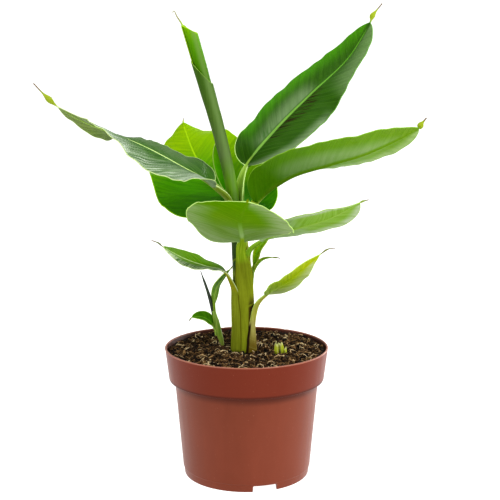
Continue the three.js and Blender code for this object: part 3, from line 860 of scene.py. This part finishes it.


# The open leaves, from the oldest at the foot of the stem to the youngest in the crown. Lengths are
# in millimetres and angles in degrees. A lift is how steeply one half of the blade rises, set from
# base to tip, and a wrap how far the sheath reaches round the stem, set from its foot up. A colour
# stop is a share of the leaf's length with its darker and lighter paint. A painted light patch and a
# fleck are each given as the half they lie on, their near and far reach from the margin, two shares,
# a strength and a paint. The light patches are painted sheen, glow and shade on the blade.
make_open_leaf("leaf_lower_right", dict(
    SMALL, heading=-20, stalk=[(5.8, -2.5, 92.3), (6, -3.5, 113), (8, -5, 128)],
    blade=[(14, -6, 135), (27, -11, 144), (39, -18, 155), (52, -21, 167)],
    tip=[(58, -21, 171), (63, -21, 171)], half_width=15, fullness=(0.49, 0.78),
    left_lift=(-24, -29, -22, -19, -15), right_lift=(12, 16, 13, 16, 16), foot=6, foot_thick=3,
    bulb=(0.35, 0.4, 0.2),
    sheath=dict(foot=91, wrap=(58, 52, 42, 30, 14), stand=1.15, hold=0.35, merge=0.85),
), dict(
    upper=[(0, (120, 152, 0), (150, 178, 20))],
    under=[
        (0, (114, 142, 50), (142, 166, 88)), (0.35, (124, 152, 0), (154, 176, 26)),
        (0.85, (146, 162, 0), (166, 180, 8)),
    ],
    rib_under=[(0, (150, 174, 100)), (0.35, (142, 166, 30)), (0.85, (160, 174, 10))],
    stalk=((146, 148, 52), (176, 178, 88)), sheath=((126, 120, 58), (160, 156, 90)),
    seam=((40, 26, 14), 1.5), bulb=(120, 124, 70),
    painted_light_patches=[(-1, 1, 12, -0.1, 0.9, 1.0, (166, 178, 130))], gloss=0.02, lines=0.04,
))
make_open_leaf("leaf_lower_left", dict(
    SMALL, heading=195, stalk=[(-7, -4, 118), (-9.5, -5.5, 138)],
    blade=[(-15, -7, 152), (-29, -8, 156), (-44, -11, 162), (-59, -18, 172)],
    tip=[(-62, -20, 175), (-67, -20, 177)], half_width=14, fullness=(0.5, 0.72),
    left_lift=(-2, -4, -13, -21, -24), right_lift=(11, 18, 21, 18, 14), bulb=(0.35, 0.4, 0.2),
    sheath=dict(foot=91, wrap=(66, 66, 64, 56, 44), stand=0.75, flare=0.25, hold=0.4, merge=0.85),
), dict(
    upper=[(0, (72, 116, 0), (96, 134, 2))], under=[(0, (104, 142, 50), (146, 172, 96))],
    stalk=((118, 120, 18), (150, 152, 40)), bulb=(110, 116, 80),
    rib_upper=[(0, (196, 206, 170)), (0.5, (168, 188, 126))], margin=[(0, (190, 206, 150))],
    seam=((98, 100, 18), 0.4), painted_light_patches=[(-1, 0.8, 9, -0.1, 1.2, 1.4, (180, 192, 164))],
    flecks_and_glints=[(-1, 3, 8, 0.0, 0.9, 1.4, (84, 118, 60))], gloss=0.02,
))
make_open_leaf("leaf_front", dict(
    LARGE, heading=-92, stalk=[(-3.8, -6.5, 150), (-4, -9, 166)],
    blade=[(-3, -17, 176), (-4, -66, 197), (1, -131, 219)], tip=[(1, -133, 220), (1.5, -135, 221)],
    half_width=36.5, fullness=(0.48, 0.7), left_lift=(1, -4, -11, -10, -6),
    right_lift=(-13, 6, 9, 10, 6), bulb=(0.7, 0.2, 0.4), wave=0.25, rib=0.5,
    sheath=dict(
        foot=91, wrap=(120, 90, 60, 34, 28), wrap_left=(150, 140, 130, 85, 28), stand=0.3,
        flare=0.5,
    ),
), dict(
    # Its underside is painted greyer towards the base and carries pale grey patches: painted sheen.
    under=[
        (0, (92, 122, 46), (112, 140, 68)), (0.45, (84, 121, 10), (100, 135, 22)),
        (0.8, (78, 122, 0), (92, 132, 0)),
    ],
    stalk=((108, 138, 14), (150, 172, 48)), stain_and_shade=((56, 36, 16), (0.6, 2.6), (137, 124)),
    rib_under=[(0, (150, 176, 120)), (0.2, (126, 156, 84)), (0.45, (90, 128, 14))],
    bulb=(112, 130, 10), thread=(112, 120, 20), margin=[(0, (176, 206, 120))],
    painted_light_patches=[
        (0, 0.5, 20, -0.1, 0.7, 0.85, (136, 154, 112)),
        (0, 30, 12, -0.1, 0.3, 0.5, (136, 154, 112)), (-1, 0.5, 24, 0.1, 1.2, 1.0, (144, 160, 118)),
    ],
    gloss=0,
))
make_open_leaf("leaf_mid_right", dict(
    SMALL, heading=-22, stalk=[(-1, -4.5, 156), (4, -7, 168)],
    blade=[(11, -9, 175), (32, -17, 184), (57, -25, 193), (78, -37, 206)],
    tip=[(80, -37, 207), (84, -37, 208)], half_width=22.5, wave=0.2, ripple=0.03,
    fullness=(0.51, 0.69), left_lift=(-10, -16, -19, -29, -32), right_lift=(24, 22, 22, 23, 8),
    neck=2.0, bulb=(0.5, 0.3, 0.3), sheath=dict(foot=120, wrap=(100, 80, 60, 28), stand=-0.25),
), dict(
    under=[(0, (112, 148, 34), (134, 170, 72))], stalk=((96, 138, 20), (132, 168, 50)),
    bulb=(130, 148, 70), margin=[(0, (160, 190, 100))],
    painted_light_patches=[
        (0, 0.5, 9, -0.1, 1.2, 1.4, (166, 182, 146)), (0, 1, 40, -0.1, 0.45, 0.9, (144, 170, 122)),
    ],
    gloss=0.02, lines=0.03,
))
make_open_leaf("leaf_left", dict(
    LARGE, heading=185, stalk=[(-7, -2.5, 182), (-13, -4.5, 203)],
    blade=[
        (-23, -9, 215), (-43, -11, 227), (-67, -17, 241), (-92, -17, 252), (-112, -18, 260),
        (-129, -28, 271),
    ],
    tip=[(-136, -32, 278), (-144, -34, 287)], half_width=27.5, fullness=(0.41, 0.8),
    left_lift=(18, 0, -14, -22, -26, -19, -7, 4, 10, 14, 14),
    right_lift=(34, 24, 15, 10, 8, 8, -6, -24, -28, -24, -20), lean=1.4, rib_width=1.2,
    bulb=(2.2, 0.34, 0.18), ripple=0.22, thread=0.45,
    sheath=dict(foot=120, wrap=(120, 110, 80, 34), stand=-0.7),
), dict(
    upper=[(0, (34, 76, 14), (66, 104, 34))], under=[(0, (84, 104, 30), (116, 134, 66))],
    # The midrib's paint is its own pale colour with a painted highlight on it.
    rib_upper=[(0, (178, 200, 130))], margin=[(0, (186, 204, 140))],
    stalk=((96, 116, 20), (132, 150, 50)), sheath=((98, 114, 8), (126, 142, 22)),
    # The dark green on the upper left of its sheath is painted shade.
    stain_and_shade=((48, 70, 22), (-5.5, -7.5), (148, 156)),
    # The pale patches on its near half are painted sheen, and the dark patch on its far half painted shade.
    painted_light_patches=[
        (-1, 1, 24, -0.1, 0.9, 0.85, (124, 144, 114)),
        (-1, 1, 24, -0.1, 0.35, 0.75, (146, 162, 136)), (1, 14, 26, 0.1, 0.8, 0.4, (84, 106, 70)),
    ],
    # The pale silvery fleck on its near half is painted glints of sheen; the dark one is streaking in the
    # leaf.
    flecks_and_glints=[(-1, 5, 26, 0.0, 0.8, 0.5, (206, 214, 200)), (-1, 6, 22, 0.0, 0.66, 0.6, (46, 70, 32))],
    gloss=0.14, shine=(0.3, 0.46),
))
make_open_leaf("leaf_right", dict(
    LARGE, heading=-20, stalk=[(-2, -2.5, 180), (3, -3, 196)],
    blade=[(7, -1.5, 202.5), (31, -12, 221), (58, -25, 231), (84, -34, 240), (117, -36, 257)],
    tip=[(119, -37, 260), (122, -38, 264)], half_width=30, fullness=(0.46, 0.64),
    left_lift=(25, -3, -10, -14, -35), right_lift=(55, 36, 35, 32, 26), bulb=(2.1, 0.24, 0.3),
    wave=0.35, ripple=0.04, thread=0.6, sheath=dict(foot=150, wrap=(120, 95, 70, 40), stand=-0.85),
), dict(
    under=[
        (0, (86, 134, 4), (98, 144, 10)), (0.5, (94, 138, 8), (106, 148, 22)),
        (1, (98, 134, 10), (112, 144, 34)),
    ],
    rib_under=[(0, (100, 136, 20))], margin=[(0, (130, 172, 50))],
    painted_light_patches=[
        (1, 22, 8, 0.16, 1.1, 0.66, (146, 168, 120)),
        (-1, 0.5, 12, 0.3, 1.2, 0.66, (170, 190, 140)),
    ],
    gloss=0.05, lines=0.02, even=0.68,
))
make_open_leaf("leaf_back", dict(
    LARGE, heading=110, stalk=[(-6.5, 3, 180), (-8, 5, 193)],
    blade=[(-12, 9, 202), (-23, 46, 207), (-39, 78, 225), (-52, 121, 251)],
    tip=[(-52, 124, 252.5), (-52, 126, 254)], half_width=45.5, fullness=(0.28, 0.62),
    left_lift=(-31, -15, -5, -29, -43), right_lift=(-23, 6, 13, 28, -14), bulb=(0.5, 0.2, 0.4),
    ripple=0.05, rib_width=1.2, sheath=dict(foot=150, wrap=(110, 80, 60, 36), stand=-1.0),
), dict(
    # Its upper face runs from dark green at the base to yellow-green towards the tip, and one half carries a
    # yellow-green patch: painted shade low down and a painted glow of light through the blade higher up.
    upper=[
        (0, (38, 94, 0), (54, 114, 0)), (0.45, (54, 112, 0), (72, 132, 0)),
        (0.8, (108, 144, 0), (128, 160, 0)),
    ],
    rib_upper=[(0, (140, 176, 14))], margin=[(0, (150, 190, 20))],
    painted_light_patches=[(1, 2, 40, 0.2, 1.2, 0.9, (124, 162, 0))], gloss=0.02, lines=0.05,
))
make_open_leaf("leaf_upper_right", dict(
    LARGE, heading=25, stalk=[(-4, 0.5, 188), (-4.8, 1, 205), (-3.8, 4.5, 217)],
    blade=[(0, 10, 227), (20, 20, 251), (47, 33, 277), (75, 40, 303), (91, 43, 329)],
    tip=[(93, 45, 334), (100, 46, 343)], half_width=32, fullness=(0.47, 0.68),
    left_lift=(38, 13, 14, 17, 21), right_lift=(-12, -21, -20, -4, -16), bulb=(1.9, 0.34, 0.2),
    thread=0.5, wave=0.35, ripple=0.05, neck=1.4, foot=7.5, foot_thick=2.2, channel=14,
), dict(
    upper=[(0, (34, 68, 0), (47, 84, 8)), (0.5, (38, 74, 6), (52, 90, 15))], even=0.72,
    rib_upper=[(0, (122, 160, 76)), (0.4, (106, 150, 62)), (0.9, (80, 134, 34))],
    stalk=((124, 158, 40), (160, 188, 90)),
    margin=[(0, (190, 216, 136)), (0.12, (176, 206, 120)), (0.3, (100, 146, 60))],
    painted_light_patches=[
        (-1, 0.5, 20, 0.08, 1.1, 0.8, (68, 134, 0)), (-1, 28, 10, 0.05, 0.6, 0.78, (112, 134, 96)),
        (1, 0.5, 9, -0.1, 0.5, 0.75, (124, 142, 112)), (1, 0.5, 26, 0.55, 1.2, 0.8, (106, 132, 86)),
    ],
    flecks_and_glints=[(1, 26, 17, 0.12, 0.6, 2.0, (34, 18, 0)), (-1, 24, 8, 0.02, 0.3, 0.6, (34, 88, 6))],
    gloss=0.05, shine=(0.3, 0.46), lines=0.04,
))

# The spear leaf. The youngest leaf is still rolled up like a cigar, cut obliquely at its top, with a
# hooked thread at its point. A second young leaf is wrapped once round it and ends in a slanting edge.
SPEAR_AXIS = [(-7.7, 0, 194.3), (-11.6, 0, 217), (-19.6, 0, 252), (-27.4, 0, 280), (-37, 0, 314)]
SPEAR_AXIS += [(-41.4, 0, 329)]
SPEAR_RADII = [3.5, 3.6, 3.7, 3.9, 4.2, 4.6, 4.9, 5.0]
HIGHLIGHT_AT = -62
SPEAR_TOP = 318.3
THREAD = [(-43.2, -0.4, 322), (-45.1, -0.4, 327), (-48.6, 0, 332.4), (-50.3, 0.2, 335.9), (-51.2, 0.3, 335.8)]
THREAD += [(-51.3, 0.2, 334.4)]
THREAD_SIZES = [0.9, 0.55, 0.3, 0.2]
ROLL = dict(rows=150, columns=150, turns=2.4, outer=60, foot=1.5, wider=0, tightness=0.75)
ROLL_RISE, ROLL_SLANT = 9.5, 4.2
WRAP = dict(rows=130, columns=80, turns=1.15, outer=95, foot=3, wider=0.65, tightness=0.25)
WRAP_LEFT, WRAP_RIGHT, WRAP_DIP = 303, 284.7, 26
ROLL_WALL = 0.2

spear_places, spear_run = route(SPEAR_AXIS)
spear_base = np.interp(SPEAR_TOP, spear_places[:, 2], spear_run)


def roll_top(from_left, turn):
    return spear_base + ROLL_RISE - ROLL_SLANT * (1 - from_left) + 0.25 * np.sin(3 * turn)


def wrap_top(from_left, turn):
    height = (WRAP_LEFT + WRAP_RIGHT) / 2 + (WRAP_LEFT - WRAP_RIGHT) / 2 * from_left
    behind = np.maximum(np.sin(turn), 0)
    height = height - 1.5 * np.abs(np.sin(turn)) - WRAP_DIP * behind**2
    return np.interp(height, spear_places[:, 2], spear_run)


def rolled(name, finish, sizes, top, *nodes):
    """A sheet rolled round the spear's axis. Rows run along it to a top that changes round the roll."""
    outer, turns, foot = math.radians(sizes["outer"]), sizes["turns"], sizes["foot"]
    turn = outer + math.tau * turns * np.linspace(1, 0, sizes["columns"] + 1)[None, :]
    from_left = np.cos(turn - math.pi)
    reach = foot + (top(from_left, turn) - foot) * np.linspace(0, 1, sizes["rows"] + 1)[:, None]
    centre = along(spear_places, spear_run, reach)
    ahead = unit(along(unit(np.gradient(spear_places, axis=0)), spear_run, reach))
    side, back = cross_ways(ahead)
    size = eased(SPEAR_RADII, reach / spear_base) + sizes["wider"]
    size = size - sizes["tightness"] * (1 - (turn - outer) / (math.tau * turns)) * turns
    middle = centre + size[..., None] * (np.cos(turn)[..., None] * side + np.sin(turn)[..., None] * back)

    across = (turn[:, :1] - turn) * size
    low, high = reach.min(), reach.max()
    from_end = np.minimum(across, across[:, -1:] - across)
    margin = np.minimum(from_end, (reach[-1:] - reach)) + 0.25
    # A band round the roll at one turn is a painted highlight. It rides in the roll's midrib mark and takes
    # the rib paint.
    from_highlight = np.remainder(turn - math.radians(HIGHLIGHT_AT) + math.pi, math.tau) - math.pi
    painted_highlight = 0.44 * np.exp(-((from_highlight / 0.7) ** 2))
    share = (reach - low) / (high - low)
    marks = marks_of(across, reach * 0.12 + across, reach, share, painted_highlight, margin)
    sheet_piece(name, middle, ROLL_WALL, ROLL_WALL, marks, finish, "leaf", *nodes)


def thread_finish():
    """Dry thread, still green where it leaves the leaf's point."""
    finish, shader = new_finish("dry_thread", 0.6)
    place = place_on(shader)
    colour = tinted(grain(place, (900, 900, 300)), (150, 150, 60), (110, 104, 80))
    colour = tinted(faded(axis_of(place, "Z"), 0.325, 0.331), (150, 190, 30), colour)
    feed(shader.inputs["Base Color"], colour)
    return finish


def make_spear():
    roll_finish = leaf_finish(
        "spear_green",
        upper=[(0, (60, 120, 20), (84, 146, 34))],
        under=[
            (0, (74, 106, 14), (88, 120, 26)), (0.7, (56, 98, 0), (68, 110, 0)),
            (0.9, (76, 130, 0), (88, 140, 0)), (1, (112, 160, 0), (122, 168, 0)),
        ],
        # The rib paint here colours the roll's painted highlight band.
        rib_under=[(0, (110, 134, 74))], margin=[(0, (160, 196, 30))], lines=0,
    )
    rolled("spear_roll", roll_finish, ROLL, roll_top, "spear_leaf")
    wrap_finish = leaf_finish(
        "wrap_green",
        upper=[(0, (60, 120, 20), (84, 146, 34))],
        under=[
            (0, (96, 138, 18), (108, 150, 28)), (0.18, (94, 134, 26), (106, 146, 36)),
            (0.36, (94, 114, 64), (106, 126, 78)), (0.6, (74, 102, 40), (86, 112, 50)),
            (1, (54, 88, 16), (66, 98, 28)),
        ],
        # The rib paint here colours the roll's painted highlight band.
        rib_under=[(0, (112, 136, 82))], margin=[(0, (140, 176, 76))], lines=0,
    )
    rolled("spear_wrap", wrap_finish, WRAP, wrap_top)

    places, _ = route(THREAD)
    sizes = np.interp(np.linspace(0, 1, len(places)), (0, 0.25, 0.55, 1), THREAD_SIZES)
    set_piece("spear_thread", grid_tube(places, sizes, 10), thread_finish(), "leaf")


make_spear()

# The side shoots. Thin suckers come up beside the stem, each a small tube of sheaths with narrow
# leaves. The left one still has its dark rolled spike, and one on the right was cut back to torn
# stubs. The loose edge of an older leaf, behind the spear, is made like their leaves.
SHOOTS = {
    "shoot_left": ([(-17.2, 8, 91.8), (-21.2, 8, 106), (-24.4, 8, 119.5)], [1.0, 1.9, 2.3, 1.6]),
    "shoot_right": ([(2, 13, 91.8), (2.6, 12.5, 125), (4.6, 12, 150)], [1.9, 1.7, 1.6, 1.2]),
    "shoot_left_spear": ([(-24.3, 8, 117), (-27.6, 8, 131), (-33.7, 8, 149.5)], [1.2, 1.2, 0.9, 0.3]),
}
SHOOT_LEAF = dict(
    rib=0.7, rib_width=0.8, foot=1.2, foot_thick=1.2, neck=1.0, across=20, pitch=0.8, wave=0.25, lean=0.8,
    ripple=0.05, fullness=(0.5, 0.7), left_lift=(30, 24, 18, 20), right_lift=(30, 24, 18, 20),
    bulb=(0.3, 0.4, 0.2), camber=-4,
)
SHOOT_LEAVES = dict(
    shoot_left_leaf_low=dict(
        heading=90, stalk=[(-22, 8, 101), (-22.4, 7.9, 104)],
        blade=[(-25, 7.5, 109), (-32, 6, 115), (-40.3, 4, 115.4)],
        tip=[(-41.5, 4, 114), (-42.5, 4, 112.5)], half_width=5.6,
    ),
    shoot_left_leaf_high=dict(
        heading=-90, stalk=[(-23.5, 8, 115), (-24, 8, 119)],
        blade=[(-24, 8, 125), (-21.7, 8, 137), (-16.5, 8, 145), (-11.8, 8, 151)],
        tip=[(-11, 8, 152), (-10, 8, 153.5)], half_width=3.4,
    ),
    shoot_right_leaf_high=dict(
        heading=120, stalk=[(4, 12, 144), (4.6, 12, 149)],
        blade=[(5.5, 12, 153), (7.9, 12, 163), (13.4, 12, 171), (18.7, 12, 178)],
        tip=[(20, 12, 180), (21, 12, 181)], half_width=3.2,
    ),
    shoot_right_leaf_low=dict(
        heading=-50, stalk=[(3.6, 12, 142), (4.6, 12.3, 147)],
        blade=[(6.5, 12.5, 151), (12, 12.5, 157), (19, 12, 158.8)],
        tip=[(23, 12, 158.6), (25, 12, 158.2)], half_width=3,
    ),
)
FLAP = dict(
    SHOOT_LEAF, heading=90, stalk=[(-9.2, 4, 196), (-9.8, 4, 200)],
    blade=[(-11, 5, 204), (-16, 7.5, 226), (-19, 6.5, 247)], tip=[(-20, 6, 250), (-20.6, 5.8, 252)],
    half_width=8, fullness=(0.7, 0.5), left_lift=(10, 10), right_lift=(-50, -65, -60), across=40,
)
CUT_BLADES = [
    dict(foot=(20.8, -11.4), lean=(0.7, 0.4), height=10.2, width=1.8, turn=245),
    dict(foot=(22.1, -9.9), lean=(1.8, 0.2), height=10, width=1.4, turn=280),
    dict(foot=(27.3, -11), lean=(-2.4, 0.4), height=10.2, width=1.9, turn=285),
    dict(foot=(29, -12.2), lean=(-0.5, 0.2), height=7, width=1.1, turn=310),
]
CUT_FOOT, CUT_WALL, CUT_CURL = 89.5, 0.3, 65


def shoot_finish(name, dark, light, foot):
    finish, shader = new_finish(name, 0.42)
    place = place_on(shader)
    lines = grain(place, (1500, 1500, 40), 4)
    colour = tinted(faded(lines, 0.35, 0.65), dark, light)
    colour = tinted(faded(axis_of(place, "Z"), 0.104, 0.093, 0, 0.7), colour, foot)
    feed(shader.inputs["Base Color"], colour)
    relief(shader, lines, 0.0002, 0.8)
    return finish


def make_shoots():
    green = shoot_finish("shoot_sheath", (106, 146, 28), (152, 180, 72), (164, 180, 88))
    dark = shoot_finish("dark_spike", (14, 26, 10), (44, 66, 30), (44, 66, 30))
    for name, (axis, sizes) in SHOOTS.items():
        places, run = route(axis)
        places = along(places, run, np.linspace(0, run[-1], 60))
        sizes = eased(sizes, np.linspace(0, 1, 60))

        def ribbed(i, turn, sizes=sizes):
            return sizes[i] * (1 + 0.05 * math.cos(11 * turn) + 0.10 * math.cos(turn * 2 + 0.03 * i))

        shape = grid_tube(places, ribbed, 40)
        set_piece(name + "_tube", shape, dark if "spear" in name else green, "shoot", name)
    fresh = leaf_finish(
        "shoot_leaf_green", upper=[(0, (62, 116, 4), (90, 142, 16))],
        under=[(0, (120, 160, 36), (142, 176, 56)), (0.5, (82, 120, 52), (110, 144, 86))],
        margin=[(0, (170, 200, 96))], stalk=((120, 156, 40), (160, 186, 76)),
    )
    yellow = leaf_finish(
        "shoot_leaf_yellow", upper=[(0, (112, 148, 0), (146, 176, 24))],
        under=[(0, (112, 148, 10), (146, 176, 40))], margin=[(0, (170, 190, 90))],
        stalk=((128, 156, 30), (160, 180, 66)), gloss=0.02,
    )
    for name, spec in SHOOT_LEAVES.items():
        blade_finish = yellow if "right" in name else fresh
        make_leaf(name + "_sheet", dict(SHOOT_LEAF, **spec), blade_finish, "shoot", name)
    # The flap is painted from dark green at its base to bright yellow-green at its tip on both faces: painted
    # shade low down and a painted glow of light shining through it higher up.
    flap_glow_green = [(0, (60, 160, 0), (76, 172, 0)), (0.5, (110, 204, 0), (124, 212, 0))]
    flap_glow_green += [(1, (150, 218, 20), (164, 224, 30))]
    flap = leaf_finish(
        "flap_glow_green", upper=flap_glow_green, under=flap_glow_green, rib_upper=[(0, (110, 200, 0))],
        rib_under=[(0, (110, 200, 0))], margin=[(0, (196, 226, 120))], lines=0,
    )
    make_leaf("spear_flap_sheet", FLAP, flap, "leaf", "spear_flap")

    cut = leaf_finish(
        "cut_blade_green", upper=[(0, (110, 124, 0), (156, 172, 10)), (1, (184, 190, 50), (206, 210, 90))],
        under=[(0, (104, 122, 0), (150, 166, 10)), (0.5, (150, 164, 0), (186, 198, 20))],
        margin=[(0, (214, 214, 150))], gloss=0.02,
    )
    for i, blade in enumerate(CUT_BLADES):
        rise, across = np.linspace(0, 1, 25)[:, None], np.linspace(-1, 1, 13)[None, :]
        ragged = 1 - 0.22 * np.abs(np.sin(7 * across + i)) - 0.1 * np.abs(np.sin(17 * across + 2 * i))
        turn = math.radians(blade["turn"])
        curl = across * math.radians(CUT_CURL)
        size = blade["width"] * (1 - 0.35 * rise)
        (foot_x, foot_y), (lean_x, lean_y) = blade["foot"], blade["lean"]
        x = foot_x + lean_x * rise**1.4 + size * (np.cos(turn + curl) - math.cos(turn))
        y = foot_y + lean_y * rise**1.4 + size * (np.sin(turn + curl) - math.sin(turn))
        z = CUT_FOOT + (blade["height"] + 2) * rise * ragged
        margin = np.minimum(1 - np.abs(across), 1.2 * (1 - rise)) * 1.5 + 0.3
        marks = marks_of(across, 3 * across, 8 * rise, rise, 0.0, margin)
        nodes = ["cut_shoot"] if i == 0 else []
        middle = np.stack([x, y, z], -1)
        sheet_piece("cut_blade_%d" % (i + 1), middle, CUT_WALL, CUT_WALL, marks, cut, "shoot", *nodes)


make_shoots()
